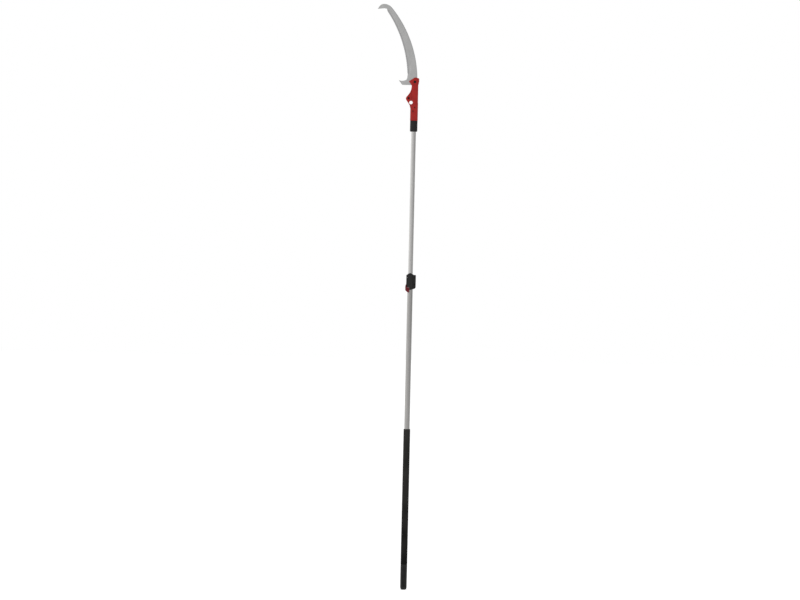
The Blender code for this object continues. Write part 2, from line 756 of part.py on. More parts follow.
def make_saw_blade():
    spine_end = TEETH_START + TEETH_LENGTH - SPINE_END_DROP
    step = (spine_end - SPINE_START) / SPINE_STEPS
    spine = [blade_point(spine_end - step * place, 0) for place in range(SPINE_STEPS + 1)]
    teeth = tooth_line()
    tip_hook = []
    for along, inside, rounding in (
        TIP_HOOK_THROAT,
        TIP_HOOK_BELLY,
        TIP_HOOK_POINT,
        TIP_HOOK_BACK,
        TIP_HOOK_CROWN,
    ):
        tip_hook.append((*blade_point(spine_end + along, inside), rounding))
    heel = (teeth[0][0], HOOK_HEEL)
    base = [
        (TANG_RIGHT, HOOK_HEEL + TANG_SHOULDER, TANG_SHOULDER_ROUNDING),
        (TANG_RIGHT, TANG_BOTTOM, TANG_CORNER),
        (TANG_LEFT, TANG_BOTTOM, TANG_CORNER),
        (TANG_LEFT, HOOK_HEEL, TANG_FILLET),
        (heel[0] - HEEL_HOOK_UNDERSIDE, HOOK_HEEL, HEEL_HOOK_KEEL_ROUNDING),
        beside(heel, HEEL_HOOK_POINT),
        beside(heel, HEEL_HOOK_BELLY),
        beside(heel, HEEL_HOOK_CROOK),
    ]
    corners = corners_at(teeth) + tip_hook + corners_at(spine) + base
    bolt_hole = circle(*BLADE_BOLT, M6_BOLT["shank"] + SEAT_GAP)
    pin_hole = circle(*LOCATING_PIN, LOCATING_PIN_RADIUS + SEAT_GAP)
    outline = rounded(corners, step=8)
    blade = plate("saw_blade", [outline, bolt_hole, pin_hole], BLADE_THICKNESS, upper_pole)
    grind_teeth(blade.data)
    as_part(blade, "blade_steel")


def make_head_blank():
    """The head's outer form, before it is split into its two shells."""
    foot = BLADE_BOLT[1] + BOSS_FOOT
    neck = [
        beside(BLADE_BOLT, BOSS_BEAK),
        beside(BLADE_BOLT, BOSS_CROWN),
        beside(BLADE_BOLT, BOSS_SHOULDER),
        beside(BLADE_BOLT, BOSS_SIDE),
        (HEAD_RIGHT, foot, NECK_SWEEP),
        (HEAD_RIGHT, SOCKET_TOP - SOCKET_SINK, HEAD_CORNER_ROUNDING),
        (HEAD_LEFT, SOCKET_TOP - SOCKET_SINK, HEAD_CORNER_ROUNDING),
        (HEAD_LEFT, foot, NECK_NOTCH_ROUNDING),
    ]
    wing_bottom = TUBE_SEAT - WING_TAIL[1]
    wing = [
        (HEAD_LEFT, foot - WING_TOP, HEAD_CORNER_ROUNDING),
        (HEAD_LEFT - WING_WAIST[0], WING_SCREW[1] + WING_WAIST[1], WING_WAIST_ROUNDING),
        beside(WING_SCREW, WING_TIP_OFFSET),
        beside(HANGING_HOLE, WING_FOOT_OFFSET),
        (HEAD_LEFT - WING_TAIL[0], wing_bottom, HEAD_CORNER_ROUNDING),
        (WING_ROOT_X, wing_bottom, HEAD_CORNER_ROUNDING),
        (WING_ROOT_X, foot - WING_TOP, HEAD_CORNER_ROUNDING),
    ]
    rim = HEAD_EDGE / 3
    socket = [
        (NECK_RADIUS, -NECK_LENGTH),
        (NECK_RADIUS, 0),
        (SOCKET_RADIUS - rim, 0),
        (SOCKET_RADIUS, rim),
        (SOCKET_RADIUS, SOCKET_TOP),
        (HEAD_DEPTH / 2 - HEAD_SINK, SOCKET_TOP + SOCKET_TAPER),
    ]
    blank = plate("head_blank", [rounded(neck)], HEAD_DEPTH, upper_pole, HEAD_EDGE)
    join(
        blank,
        plate("wing_blank", [rounded(wing)], WING_DEPTH, upper_pole, WING_EDGE),
        oval_sweep("socket_blank", socket, upper_pole, ring=False),
    )
    bake(blank)
    return blank


def head_cutters():
    """Everything that the head's shells make room for."""
    gap = SEAT_GAP
    pocket = [
        (TANG_LEFT - gap, TANG_BOTTOM - gap, 0),
        (TANG_RIGHT + gap, TANG_BOTTOM - gap, 0),
        (TANG_RIGHT + gap, HOOK_HEEL + TANG_SHOULDER - POCKET_LEAD[0], 0),
        (SPINE_X + gap, HOOK_HEEL + TANG_SHOULDER - POCKET_LEAD[1], 0),
        (SPINE_X + gap, FAR, 0),
        (-FAR, FAR, 0),
        (-FAR, HOOK_HEEL - gap, 0),
        (TANG_LEFT - gap, HOOK_HEEL - gap, TANG_FILLET - gap),
    ]
    pin_half = LOCATING_PIN_LENGTH / 2 + gap
    cutters = [
        plate("blade_pocket", [rounded(pocket)], BLADE_THICKNESS + 2 * gap, upper_pole),
        oval_bar("tube_bore", SOCKET_BORE, -FAR, TUBE_SEAT, upper_pole),
        rod("hanging_hole", HANGING_HOLE, HANGING_HOLE_RADIUS, (-FAR, FAR), upper_pole, BORE_SIDES),
        rod("pin_bore", LOCATING_PIN, LOCATING_PIN_RADIUS + gap, (-pin_half, pin_half), upper_pole),
    ]
    cutters += make_screw(
        "blade_bolt",
        M6_BOLT,
        BLADE_BOLT,
        HEAD_DEPTH / 2,
        -1,
        upper_pole,
        slab=WASHER_THICKNESS + gap,
    )
    cutters += make_screw("wing_screw", M5_SCREW, WING_SCREW, WING_DEPTH / 2, -1, upper_pole)
    for place, centre in SOCKET_SCREWS.items():
        name = "socket_screw_" + place
        off_axis = max(0, abs(centre[0]) - OVAL_STRETCH / 2) + M3_SCREW["head"]
        face = sqrt(SOCKET_RADIUS**2 - off_axis**2)
        cutters += make_screw(name, M3_SCREW, centre, face, -1, upper_pole)
    return cutters


def make_head():
    blank = make_head_blank()
    cutters = head_cutters()
    for name, y_range in (
        ("head_shell_front", (-FAR, -SEAT_GAP / 2)),
        ("head_shell_back", (SEAT_GAP / 2, FAR)),
    ):
        shell = block(name, (-FAR, FAR), y_range, (-FAR, FAR), upper_pole)
        keep_inside(shell, blank)
        cut(shell, *cutters)
        as_part(shell, "red_plastic")


def make_head_collar():
    lip_top = -NECK_LENGTH - SEAT_GAP
    bottom = COLLAR_BOTTOM
    top = -SEAT_GAP
    rounding = []
    for step in range(5):
        turn = pi / 2 * step / 4
        out = COLLAR_RADIUS - COLLAR_ROUNDING * (1 - sin(turn))
        rounding.append((out, bottom + COLLAR_ROUNDING * (1 - cos(turn))))
    profile = (
        [(SOCKET_BORE, bottom)]
        + rounding
        + [
            (COLLAR_RADIUS, top - MOULD_EDGE / 2),
            (COLLAR_RADIUS - MOULD_EDGE / 2, top),
            (COLLAR_BORE, top),
            (COLLAR_BORE, lip_top),
            (SOCKET_BORE, lip_top),
        ]
    )
    collar = oval_sweep("head_collar", profile, upper_pole, ring=True)
    as_part(collar, "black_plastic")


def make_blade_washer():
    outer = HEAD_DEPTH / 2 - HEAD_SINK - M6_BOLT["crown"] - SEAT_GAP
    loops = [
        circle(*BLADE_BOLT, WASHER_RADIUS),
        circle(*BLADE_BOLT, M6_BOLT["shank"] + SEAT_GAP),
    ]
    washer = plate("blade_washer", loops, WASHER_THICKNESS, upper_pole)
    washer.data.transform(Matrix.Translation((0, WASHER_THICKNESS / 2 - outer, 0)))
    as_part(washer, "bright_steel")


def make_locating_pin():
    half = LOCATING_PIN_LENGTH / 2
    pin = rod("locating_pin", LOCATING_PIN, LOCATING_PIN_RADIUS, (-half, half), upper_pole)
    as_part(pin, "bright_steel")


def make_guide_bush():
    flange_bottom = CLAMP_TOP + SEAT_GAP
    bore = INNER_TUBE_RADIUS + SLIDE_GAP
    profile = [
        (bore, SEAT_GAP),
        (OUTER_TUBE_RADIUS, SEAT_GAP),
        (OUTER_TUBE_RADIUS, flange_bottom),
        (SLEEVE_RADIUS - MOULD_EDGE, flange_bottom),
    ]
    dome_width = SLEEVE_RADIUS - MOULD_EDGE - bore - BUSH_RIM
    for step in range(6):
        turn = pi / 2 * step / 5
        out = bore + BUSH_RIM + dome_width * cos(turn)
        height = MOULD_EDGE + (BUSH_FLANGE_HEIGHT - MOULD_EDGE) * sin(turn)
        profile.append((out, flange_bottom + height))
    profile.append((bore, BUSH_TOP))
    bush = oval_sweep("guide_bush", profile, clamp, ring=True)
    side = SLEEVE_RADIUS + OVAL_STRETCH / 2
    crest = [
        (-side, 0, 0),
        (side, 0, 0),
        (side, flange_bottom + MOULD_EDGE, FINE_CORNER),
        (BUSH_CREST_X, BUSH_TOP + MOULD_EDGE, BUSH_CREST_ROUNDING),
        (-side, flange_bottom + 2 * MOULD_EDGE, FINE_CORNER),
    ]
    keep_inside(bush, plate("bush_crest", [rounded(crest)], 2 * FAR, clamp))
    cut(bush, plate_window("bush_window"))
    as_part(bush, "black_plastic")


def plate_window(name):
    """The opening through which the cam presses on the plate."""
    side = PLATE_WIDTH / 2 + SEAT_GAP
    end = PLATE_HEIGHT / 2 + SEAT_GAP
    return block(name, (-FAR, 0), (-side, side), (LEVER_PIN_Z - end, LEVER_PIN_Z + end), clamp)


def cam_pocket(half_width):
    """Room for the cam and the lever's end to turn in."""
    reach = CAM_RADIUS + CAM_THROW + SEAT_GAP
    heights = (LEVER_PIN_Z - reach, LEVER_PIN_Z + reach)
    return block("cam_pocket", (-FAR, 0), (-half_width, half_width), heights, clamp)


def make_pressure_plate():
    """A curved steel strip between the lever's cam and the inner tube."""
    inner = INNER_TUBE_RADIUS + SEAT_GAP
    outer = inner + PLATE_THICKNESS
    low = LEVER_PIN_Z - PLATE_HEIGHT / 2
    strip = oval_tube("pressure_plate", inner, outer, low, low + PLATE_HEIGHT, clamp)
    side = PLATE_WIDTH / 2
    keep_inside(strip, block("plate_limits", (-FAR, 0), (-side, side), (-FAR, FAR), clamp))
    as_part(strip, "bright_steel")
    move_origin(strip, -OVAL_STRETCH / 2 - inner, 0, LEVER_PIN_Z)


def make_clamp_body():
    body = oval_bar("clamp_body", SLEEVE_RADIUS, -FAR, FAR, clamp)
    ear = EAR_DEPTH / 2
    cheek = CHEEK_DEPTH / 2
    ears = block("ears", (0, EAR_REACH), (-ear, ear), (-FAR, FAR), clamp)
    cheeks = block("cheeks", (-CHEEK_REACH, 0), (-cheek, cheek), (-FAR, FAR), clamp)
    for obj in (ears, cheeks):
        bevel_upright(obj, 2 * MOULD_EDGE)
    join(body, ears, cheeks)
    front = [
        (-CHEEK_REACH, CLAMP_TOP, CLAMP_ROUNDING),
        (EAR_REACH, CLAMP_TOP, EAR_ROUNDING),
        (EAR_REACH, EAR_BOTTOM, EAR_ROUNDING),
        (CLAMP_SCREW_X, EAR_BOTTOM - EAR_CHAMFER, EAR_ROUNDING),
        (HOOD_WRAP + HAND_GAP, CLAMP_BOTTOM, CLAMP_ROUNDING),
        (HOOD_WRAP + HAND_GAP, SLEEVE_LIFT, CLAMP_ROUNDING),
        (-CHEEK_REACH, SLEEVE_LIFT, CLAMP_ROUNDING),
    ]
    keep_inside(body, plate("clamp_outline", [rounded(front)], 2 * FAR, clamp))
    channel = LEVER_WIDTH / 2 + LEVER_SIDE_GAP
    cheek_inner = -OVAL_STRETCH / 2 - SLEEVE_RADIUS
    floor = -(OVAL_STRETCH / 2 + SLEEVE_BORE + LEVER_CHANNEL_WALL)
    cut(
        body,
        oval_bar("sleeve_bore", SLEEVE_BORE, -FAR, FAR, clamp),
        block("lever_channel", (-FAR, floor), (-channel, channel), (-FAR, FAR), clamp),
        block("cheek_foot", (-FAR, cheek_inner), (-FAR, FAR), (-FAR, CHEEK_BOTTOM), clamp),
        block("slit", (0, FAR), (-EAR_SLIT / 2, EAR_SLIT / 2), (-FAR, FAR), clamp),
        plate_window("body_window"),
        cam_pocket(channel),
        rod(
            "lever_pin_hole",
            (LEVER_PIN_X, LEVER_PIN_Z),
            LEVER_PIN_RADIUS + SEAT_GAP,
            (-FAR, FAR),
            clamp,
        ),
    )
    for place, height in CLAMP_SCREW_HEIGHTS.items():
        centre = (CLAMP_SCREW_X, height)
        cut(body, *make_screw("clamp_screw_" + place, M4_SCREW, centre, ear, 1, clamp))
    as_part(body, "black_plastic")


def bevel_upright(obj, width):
    """Rounds the four upright edges of a block."""
    solid = bmesh.new()
    solid.from_mesh(obj.data)
    upright = [edge for edge in solid.edges if abs(edge.verts[0].co.z - edge.verts[1].co.z) > width]
    bmesh.ops.bevel(solid, geom=upright, offset=width, segments=BEVEL_STEPS, profile=0.5, affect="EDGES")
    solid.to_mesh(obj.data)
    solid.free()


def make_lever_pin():
    half = CHEEK_DEPTH / 2 - HEAD_SINK
    pin = rod("lever_pin", (LEVER_PIN_X, LEVER_PIN_Z), LEVER_PIN_RADIUS, (-half, half), clamp)
    as_part(pin, "black_steel")


def make_lock_lever():
    """The cam lever: a cam round its pin, an arm in the channel and a hood round the tube."""
    arm_back = -(OVAL_STRETCH / 2 + SLEEVE_BORE + LEVER_CHANNEL_WALL + SEAT_GAP)
    arm_front = -CHEEK_REACH + LEVER_FACE_SINK
    lever_outline = [
        (arm_front, LEVER_PIN_Z + LEVER_END, LEVER_END),
        (arm_back, LEVER_PIN_Z + LEVER_END, FINE_CORNER),
        (arm_back, HOOD_TOP, FINE_CORNER),
        (HOOD_WRAP, HOOD_TOP, HOOD_LIP_ROUNDING),
        (HOOD_WRAP, HOOD_BOTTOM, HOOD_LIP_ROUNDING),
        (-HOOD_REACH + HOOD_CORNER[0], HOOD_BOTTOM, HOOD_CORNER_ROUNDING),
        (-HOOD_REACH, HOOD_BOTTOM + HOOD_CORNER[1], HOOD_CORNER_ROUNDING),
        (-HOOD_REACH, HOOD_TOP + HOOD_BROW, HOOD_BROW_ROUNDING),
        (arm_front, HOOD_TOP + LEVER_FLARE, LEVER_FLARE_ROUNDING),
    ]
    inside = OUTER_TUBE_RADIUS + HAND_GAP
    hood_half = inside + HOOD_WALL
    lever = plate("lock_lever", [rounded(lever_outline)], 2 * hood_half, clamp)
    cam = rod(
        "cam",
        (LEVER_PIN_X + CAM_THROW, LEVER_PIN_Z),
        CAM_RADIUS,
        (-PLATE_WIDTH / 2, PLATE_WIDTH / 2),
        clamp,
        BORE_SIDES,
    )
    hood = block("hood_sides", (-HOOD_REACH, FAR), (-hood_half, hood_half), (-FAR, FAR), clamp)
    bevel_upright(hood, HOOD_SIDE_ROUNDING)
    keep_inside(lever, make_lever_plan(hood_half), hood)
    join(lever, cam)
    cut(
        lever,
        oval_bar("tube_room", inside, -FAR, HOOD_TOP + HAND_GAP, clamp),
        rod(
            "cam_hole",
            (LEVER_PIN_X, LEVER_PIN_Z),
            LEVER_PIN_RADIUS + SEAT_GAP,
            (-FAR, FAR),
            clamp,
        ),
    )
    as_part(lever, "dark_red_plastic")
    move_origin(lever, LEVER_PIN_X, 0, LEVER_PIN_Z)


def make_lever_plan(hood_half):
    """The lever's width at each height: the arm between the cheeks, then the wide hood."""
    arm_half = LEVER_WIDTH / 2
    outline = [
        (-arm_half, FAR, 0),
        (-arm_half, HOOD_TOP, FINE_CORNER),
        (-hood_half, HOOD_TOP - HOOD_SHOULDER, HOOD_LIP_ROUNDING),
        (-hood_half, -FAR, 0),
        (hood_half, -FAR, 0),
        (hood_half, HOOD_TOP - HOOD_SHOULDER, HOOD_LIP_ROUNDING),
        (arm_half, HOOD_TOP, FINE_CORNER),
        (arm_half, FAR, 0),
    ]
    plan = plate("lever_plan", [rounded(outline)], 2 * FAR, clamp)
    plan.data.transform(Matrix.Rotation(radians(90), 4, "Z"))
    return plan


make_outer_tube()
make_grip()
make_butt_cap()
make_inner_tube()
make_inner_tube_plug()
make_saw_blade()
make_head()
make_head_collar()
make_blade_washer()
make_locating_pin()
make_guide_bush()
make_pressure_plate()
make_clamp_body()
make_lever_pin()
make_lock_lever()
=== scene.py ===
"""The looks of a telescopic pole saw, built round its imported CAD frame.

The saw stands on its butt at the origin and rises along +Z. Its blade curves towards -X and its
front faces -Y, towards the camera. Sizes are in metres.
"""

import json
from math import cos, inf, pi, radians, sin, tan

import bmesh
import bpy
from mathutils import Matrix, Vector


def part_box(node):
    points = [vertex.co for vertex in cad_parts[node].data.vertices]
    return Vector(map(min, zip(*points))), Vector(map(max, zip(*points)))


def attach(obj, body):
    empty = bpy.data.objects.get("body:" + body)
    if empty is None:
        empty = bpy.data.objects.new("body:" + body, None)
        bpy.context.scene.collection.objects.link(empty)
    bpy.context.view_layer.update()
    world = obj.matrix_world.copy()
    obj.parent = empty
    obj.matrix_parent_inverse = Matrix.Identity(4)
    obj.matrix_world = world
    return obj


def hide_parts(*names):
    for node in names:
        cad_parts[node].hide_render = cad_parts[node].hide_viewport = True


# How the photograph frames the saw, whose pole leans in it
PHOTO_WIDTH = 800
PHOTO_HEIGHT = 600
METRES_PER_PIXEL = 0.004701
BUTT_PIXEL = (403.30, 589.6)
LEAN = radians(1.290)
LENS = 150.0
SENSOR_WIDTH = 36.0
CAMERA_SIGHT = 200

# Brightness of the world: on matt surfaces, and of its walls in glossy ones, where the left wall
# adds to what is behind or before it, and the right wall takes from it
MATT_LIGHT = 0.76
FRONT_WALL = 0.665
BACK_WALL = 1.0
LEFT_WALL = 0.45
RIGHT_WALL = -0.40

# The point on the pole that the lamps face
LAMP_TARGET = (0, 0, 1.4)

# The floor: half its side, and its glow to the eye and in glossy surfaces
FLOOR_REACH = 60
FLOOR_GLOW = 0.49
FLOOR_GLOW_IN_GLOSS = 0.20

# Walls and gaps of the pole's pieces
TUBE_WALL = 0.0012
SEAT_GAP = 0.0003
RIM = 0.0003
GRIP_LIP = 0.0014

# Butt cap
BUTT_DOME_HEIGHT = 0.0120
BUTT_FLAT_RADIUS = 0.0050
RECESS_WIDTH = 0.0125
RECESS_FLOOR_WIDTH = 0.0060
RECESS_DEPTH = 0.0050
RECESS_BOTTOM_MARGIN = 0.0026
RECESS_TOP_MARGIN = 0.0071
CUTTER_OVERHANG = 0.0010

# Screws: radius of the shank, height of the head and width of the hex key's socket
M6_BOLT = {"shank": 0.0030, "crown": 0.0036, "key": 0.0040}
M5_SCREW = {"shank": 0.0025, "crown": 0.00275, "key": 0.0030}
M4_SCREW = {"shank": 0.0020, "crown": 0.0026, "key": 0.0030}
M3_SCREW = {"shank": 0.0015, "crown": 0.0020, "key": 0.0020}
SCREW_SIZES = {
    "blade_bolt": M6_BOLT,
    "wing_screw": M5_SCREW,
    "clamp_screw_upper": M4_SCREW,
    "clamp_screw_lower": M4_SCREW,
    "socket_screw_upper": M3_SCREW,
    "socket_screw_lower": M3_SCREW,
}

# Shares of the head's height that its rounding and its socket take, of the shank's radius that its
# chamfer takes, and of that chamfer's size for the socket's mouth
CROWN_ROUNDING = 0.45
KEY_DEPTH = 0.6
SHANK_CHAMFER = 0.3
KEY_MOUTH_DEPTH = 1 / 3

# Nuts: gap round the shank, the turned face's share of the width across the flats, and how steeply
# the corners are turned off
NUT_BORE_GAP = 0.0001
NUT_FACE = 0.96
NUT_CORNER_SLOPE = radians(30)

# Chamfer of the lever's pin, the washer and the nuts' bores, and the shares of the pin's radius
# that its dimples take
PIN_CHAMFER = 0.0002
DIMPLE_FLOOR = 1 / 5
DIMPLE_MOUTH = 1 / 2
DIMPLE_DEPTH = 1 / 3

# Blade: its spine is an arc, upright at the bolt's height. Places along the blade are lengths of
# that arc from there, and widths are measured square to it. Its two ground bands have soft edges,
# and the one at the teeth fades out towards its ends
SPINE_X = 0.0124
SPINE_RADIUS = 0.5387
TEETH_START = 0.0428
TEETH_LENGTH = 0.3388
BLADE_WIDTHS = (0.0472, 0.0405, 0.0280)
TOOTH_BAND = 0.0085
TOOTH_BAND_BLUR = 0.0003
TOOTH_BAND_HEEL_FADE = 0.006
TOOTH_BAND_TIP_FADE = 0.008
SPINE_BAND = 0.0040
SPINE_BAND_BLUR = 0.0004

# Depth of draw lines, plating and ground steel
FINE_RELIEF = 0.00001

# Tongue in the seam between the head's shells: how far inside their outline it ends, and how
# little it leaves open on either side
TONGUE_INSET = 0.0006
TONGUE_GAP = 0.00001

# Smoothness of round shapes, and what counts there as one point, one flat face and one round face
OVAL_STEPS = 24
ROUND_SIDES = 48
ARC_STEPS = 16
QUARTER_STEPS = 6
CORNER_STEPS = 4
SAME_POINT = 0.000002
FLAT_ANGLE = radians(1)
PIECE_SMOOTH_ANGLE = radians(30)
NODE_SMOOTH_ANGLE = radians(32)

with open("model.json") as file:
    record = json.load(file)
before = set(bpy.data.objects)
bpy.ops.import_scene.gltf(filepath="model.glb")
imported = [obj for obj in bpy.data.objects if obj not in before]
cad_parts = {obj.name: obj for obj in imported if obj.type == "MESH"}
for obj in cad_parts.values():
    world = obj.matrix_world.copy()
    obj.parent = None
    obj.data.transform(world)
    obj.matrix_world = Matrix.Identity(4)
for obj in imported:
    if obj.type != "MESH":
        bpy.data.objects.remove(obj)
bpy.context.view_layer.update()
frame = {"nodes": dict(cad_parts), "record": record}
RECORD = frame["record"]
SLOT_OF = {part["node"]: part["material_slot"] for part in RECORD["subparts"]}
BODY_OF = {node: body for body, nodes in RECORD["behaviour"]["bodies"].items() for node in nodes}


def srgb(*colour):
    """A colour of three values from 0 to 255 as linear light, with an alpha of 1."""
    linear = []
    for value in colour:
        share = value / 255
        linear.append(share / 12.92 if share <= 0.04045 else ((share + 0.055) / 1.055) ** 2.4)
    return (*linear, 1.0)


class Nodes:
    """Builds one node tree, a node and its inputs at a time."""

    def __init__(self, tree):
        self.tree = tree

    def add(self, kind, inputs=None, **settings):
        made = self.tree.nodes.new("ShaderNode" + kind)
        for name, value in settings.items():
            setattr(made, name, value)
        for name, value in (inputs or {}).items():
            self.feed(made.inputs[name], value)
        return made

    def feed(self, socket, value):
        if isinstance(value, bpy.types.NodeSocket):
            self.tree.links.new(value, socket)
        else:
            socket.default_value = value

    def feed_all(self, sockets, values):
        for socket, value in zip(sockets, values):
            self.feed(socket, value)

    def math(self, operation, *values):
        made = self.add("Math", operation=operation)
        self.feed_all(made.inputs, values)
        return made.outputs[0]

    def vector_math(self, operation, *values):
        made = self.add("VectorMath", operation=operation)
        self.feed_all(made.inputs, values)
        return made.outputs["Value" if operation in ("DOT_PRODUCT", "LENGTH") else "Vector"]

    def spread(self, value, low, high, to_low=0.0, to_high=1.0):
        """Maps the range from low to high onto the other one, and stops at its ends."""
        made = self.add("MapRange", interpolation_type="SMOOTHSTEP")
        self.feed_all(made.inputs, (value, low, high, to_low, to_high))
        return made.outputs["Result"]

    def within(self, value, limit, blur):
        """1 below the limit and 0 above it, with a blur on either side."""
        return self.spread(value, limit + blur, limit - blur)

    def mix(self, share, first, second):
        """A blend of two colours."""
        made = self.add("Mix", {"Factor": share}, data_type="RGBA")
        self.feed_all(made.inputs[6:8], (first, second))
        return made.outputs[2]

    def choose(self, share, first, second):
        """A blend of two numbers."""
        made = self.add("Mix", {"Factor": share}, data_type="FLOAT")
        self.feed_all(made.inputs[2:4], (first, second))
        return made.outputs[0]

    def place(self):
        return self.add("TexCoord").outputs["Object"]

    def noise(self, scale, stretch=(1, 1, 1), detail=4.0, rough=0.5, place=None):
        """A pattern of that many waves to the metre, drawn out along the axes of a low stretch."""
        where = place or self.place()
        mapped = self.add("Mapping", {"Vector": where, "Scale": stretch}).outputs["Vector"]
        inputs = {"Vector": mapped, "Scale": scale, "Detail": detail, "Roughness": rough}
        return self.add("TexNoise", inputs).outputs["Fac"]

    def bump(self, height, distance, normal=None):
        inputs = {"Height": height, "Distance": distance}
        if normal:
            inputs["Normal"] = normal
        return self.add("Bump", inputs).outputs["Normal"]

    def edge(self, radius):
        """The normal as though edges were rounded to this radius, and where they are."""
        rounded_normal = self.add("Bevel", {"Radius": radius}, samples=6).outputs["Normal"]
        normal = self.add("NewGeometry").outputs["Normal"]
        along = self.vector_math("DOT_PRODUCT", rounded_normal, normal)
        return rounded_normal, self.spread(along, 0.995, 0.80)

    def seen(self):
        """1 for a ray that the camera sees straight, or through what is clear."""
        path = self.add("LightPath").outputs
        return self.math("MAXIMUM", path["Is Camera Ray"], path["Is Transmission Ray"])

    def in_gloss(self):
        """1 for a ray that a glossy surface has thrown back."""
        return self.add("LightPath").outputs["Is Glossy Ray"]


def new_material(name, inputs):
    """A material, the Nodes to build it with and its shader's sockets, set to these inputs."""
    made = bpy.data.materials.new(name)
    made.use_nodes = True
    sockets = made.node_tree.nodes["Principled BSDF"].inputs
    for socket, value in inputs.items():
        sockets[socket].default_value = value
    return made, Nodes(made.node_tree), sockets


def drawn_aluminium(name, colour, dark):
    """Anodised tube: fine draw lines along it, cloudy patches and small rubbed spots."""
    made, nodes, sockets = new_material(name, {"Metallic": 1.0})
    lines = nodes.noise(1400, (1, 1, 0.003), detail=3)
    cloud = nodes.noise(14, (1, 1, 0.3), detail=3)
    rubs = nodes.spread(nodes.noise(260, (1, 1, 0.12), detail=5, rough=0.7), 0.60, 0.72)
    tone = nodes.math("MULTIPLY_ADD", cloud, 0.5, nodes.math("MULTIPLY", lines, 0.5))
    body = nodes.mix(nodes.spread(tone, 0.36, 0.64), dark, colour)
    worn = nodes.mix(nodes.math("MULTIPLY", rubs, 0.35), body, srgb(222, 221, 218))
    nodes.feed(sockets["Base Color"], worn)
    rough = nodes.spread(lines, 0.3, 0.7, 0.27, 0.38)
    nodes.feed(sockets["Roughness"], nodes.math("MULTIPLY_ADD", rubs, 0.08, rough))
    nodes.feed(sockets["Normal"], nodes.bump(lines, FINE_RELIEF))
    return made


def moulded_plastic(name, colour, shade, worn, rough=(0.36, 0.50)):
    """Moulded plastic with a fine spark-eroded grain, uneven gloss and paler, rubbed edges."""
    made, nodes, sockets = new_material(name, {"Specular IOR Level": 0.25})
    rounded_normal, edges = nodes.edge(0.0005)
    pores = nodes.noise(2600, detail=3, rough=0.6)
    cloud = nodes.noise(45, detail=4)
    scuffs = nodes.spread(nodes.noise(520, (1, 1, 0.25), detail=6, rough=0.75), 0.56, 0.70)
    body = nodes.mix(nodes.spread(cloud, 0.35, 0.65), shade, colour)
    rubbed = nodes.math("MULTIPLY", edges, nodes.spread(cloud, 0.30, 0.60, 0.25, 0.75))
    mark = nodes.math("MAXIMUM", rubbed, nodes.math("MULTIPLY", scuffs, 0.16))
    nodes.feed(sockets["Base Color"], nodes.mix(mark, body, worn))
    gloss = nodes.spread(cloud, 0.3, 0.7, *rough)
    nodes.feed(sockets["Roughness"], nodes.math("MULTIPLY_ADD", scuffs, 0.12, gloss))
    nodes.feed(sockets["Normal"], nodes.bump(pores, 0.00008, rounded_normal))
    return made


def foam_rubber(name, colour, shade):
    """Closed-cell foam sleeve: fine cells with painted shade in their hollows, soft dimples, and
    darker towards the butt.
    """
    made, nodes, sockets = new_material(name, {"Specular IOR Level": 0.15})
    cells = nodes.add("TexVoronoi", {"Vector": nodes.place(), "Scale": 1100.0}).outputs["Distance"]
    dimples = nodes.noise(380, detail=3)
    cloud = nodes.noise(22, (1, 1, 0.5), detail=4)
    low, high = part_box("grip_sleeve")
    above_floor = nodes.add("SeparateXYZ", {"Vector": nodes.place()}).outputs["Z"]
    # Lighter towards the top and darker towards the butt, with a random cloud added.
    upward_tone = nodes.spread(above_floor, low.z, high.z, -0.35, 0.35)
    upward_tone = nodes.math("ADD", upward_tone, nodes.spread(cloud, 0.35, 0.65, 0.2, 0.8))
    body = nodes.mix(upward_tone, shade, colour)
    # Painted shade: darker where the cells dip, in the hollows of the pores.
    pore_shade = nodes.spread(cells, 0.05, 0.45, 0.55, 1.0)
    nodes.feed(sockets["Base Color"], nodes.mix(pore_shade, shade, body))
    nodes.feed(sockets["Roughness"], nodes.spread(cloud, 0.3, 0.7, 0.80, 0.95))
    height = nodes.math("MULTIPLY_ADD", dimples, 0.6, nodes.math("MULTIPLY", cells, 0.4))
    nodes.feed(sockets["Normal"], nodes.bump(height, 0.0010))
    return made


def plated_steel(name, colour, dark, rough=(0.28, 0.42), metallic=1.0):
    """Small steel parts: a mottled plating, tool marks and edges worn to the metal."""
    made, nodes, sockets = new_material(name, {"Metallic": metallic})
    rounded_normal, edges = nodes.edge(0.00025)
    mottle = nodes.noise(700, detail=5, rough=0.65)
    body = nodes.mix(nodes.spread(mottle, 0.35, 0.65), dark, colour)
    worn = nodes.mix(nodes.math("MULTIPLY", edges, 0.35), body, srgb(170, 168, 164))
    nodes.feed(sockets["Base Color"], worn)
    nodes.feed(sockets["Roughness"], nodes.spread(mottle, 0.3, 0.7, *rough))
    nodes.feed(sockets["Normal"], nodes.bump(mottle, FINE_RELIEF, rounded_normal))
    return made


def blade_point(along, inside):
    """A point (x, z) by its place along the blade and its distance from the spine."""
    low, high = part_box("blade_bolt")
    turn = along / SPINE_RADIUS
    radius = SPINE_RADIUS - inside
    x = SPINE_X - SPINE_RADIUS + radius * cos(turn)
    return Vector((x, (low.z + high.z) / 2 + radius * sin(turn)))


def circle_through(first, second, third):
    """The centre (x, z) and the radius of the circle through three points."""
    across, along = second - first, third - first
    share = (along.length_squared - along.dot(across)) / (2 * across.cross(along))
    centre = first + across / 2 + Vector((-across.y, across.x)) * share
    return centre, (first - centre).length


def from_centre(nodes, centre):
    """Each point's x and z from a centre, and its distance."""
    split = nodes.add("SeparateXYZ", {"Vector": nodes.place()})
    x = nodes.math("SUBTRACT", split.outputs["X"], centre.x)
    z = nodes.math("SUBTRACT", split.outputs["Z"], centre.y)
    flat = nodes.add("CombineXYZ", {"X": x, "Y": z}).outputs["Vector"]
    return x, z, nodes.vector_math("LENGTH", flat)


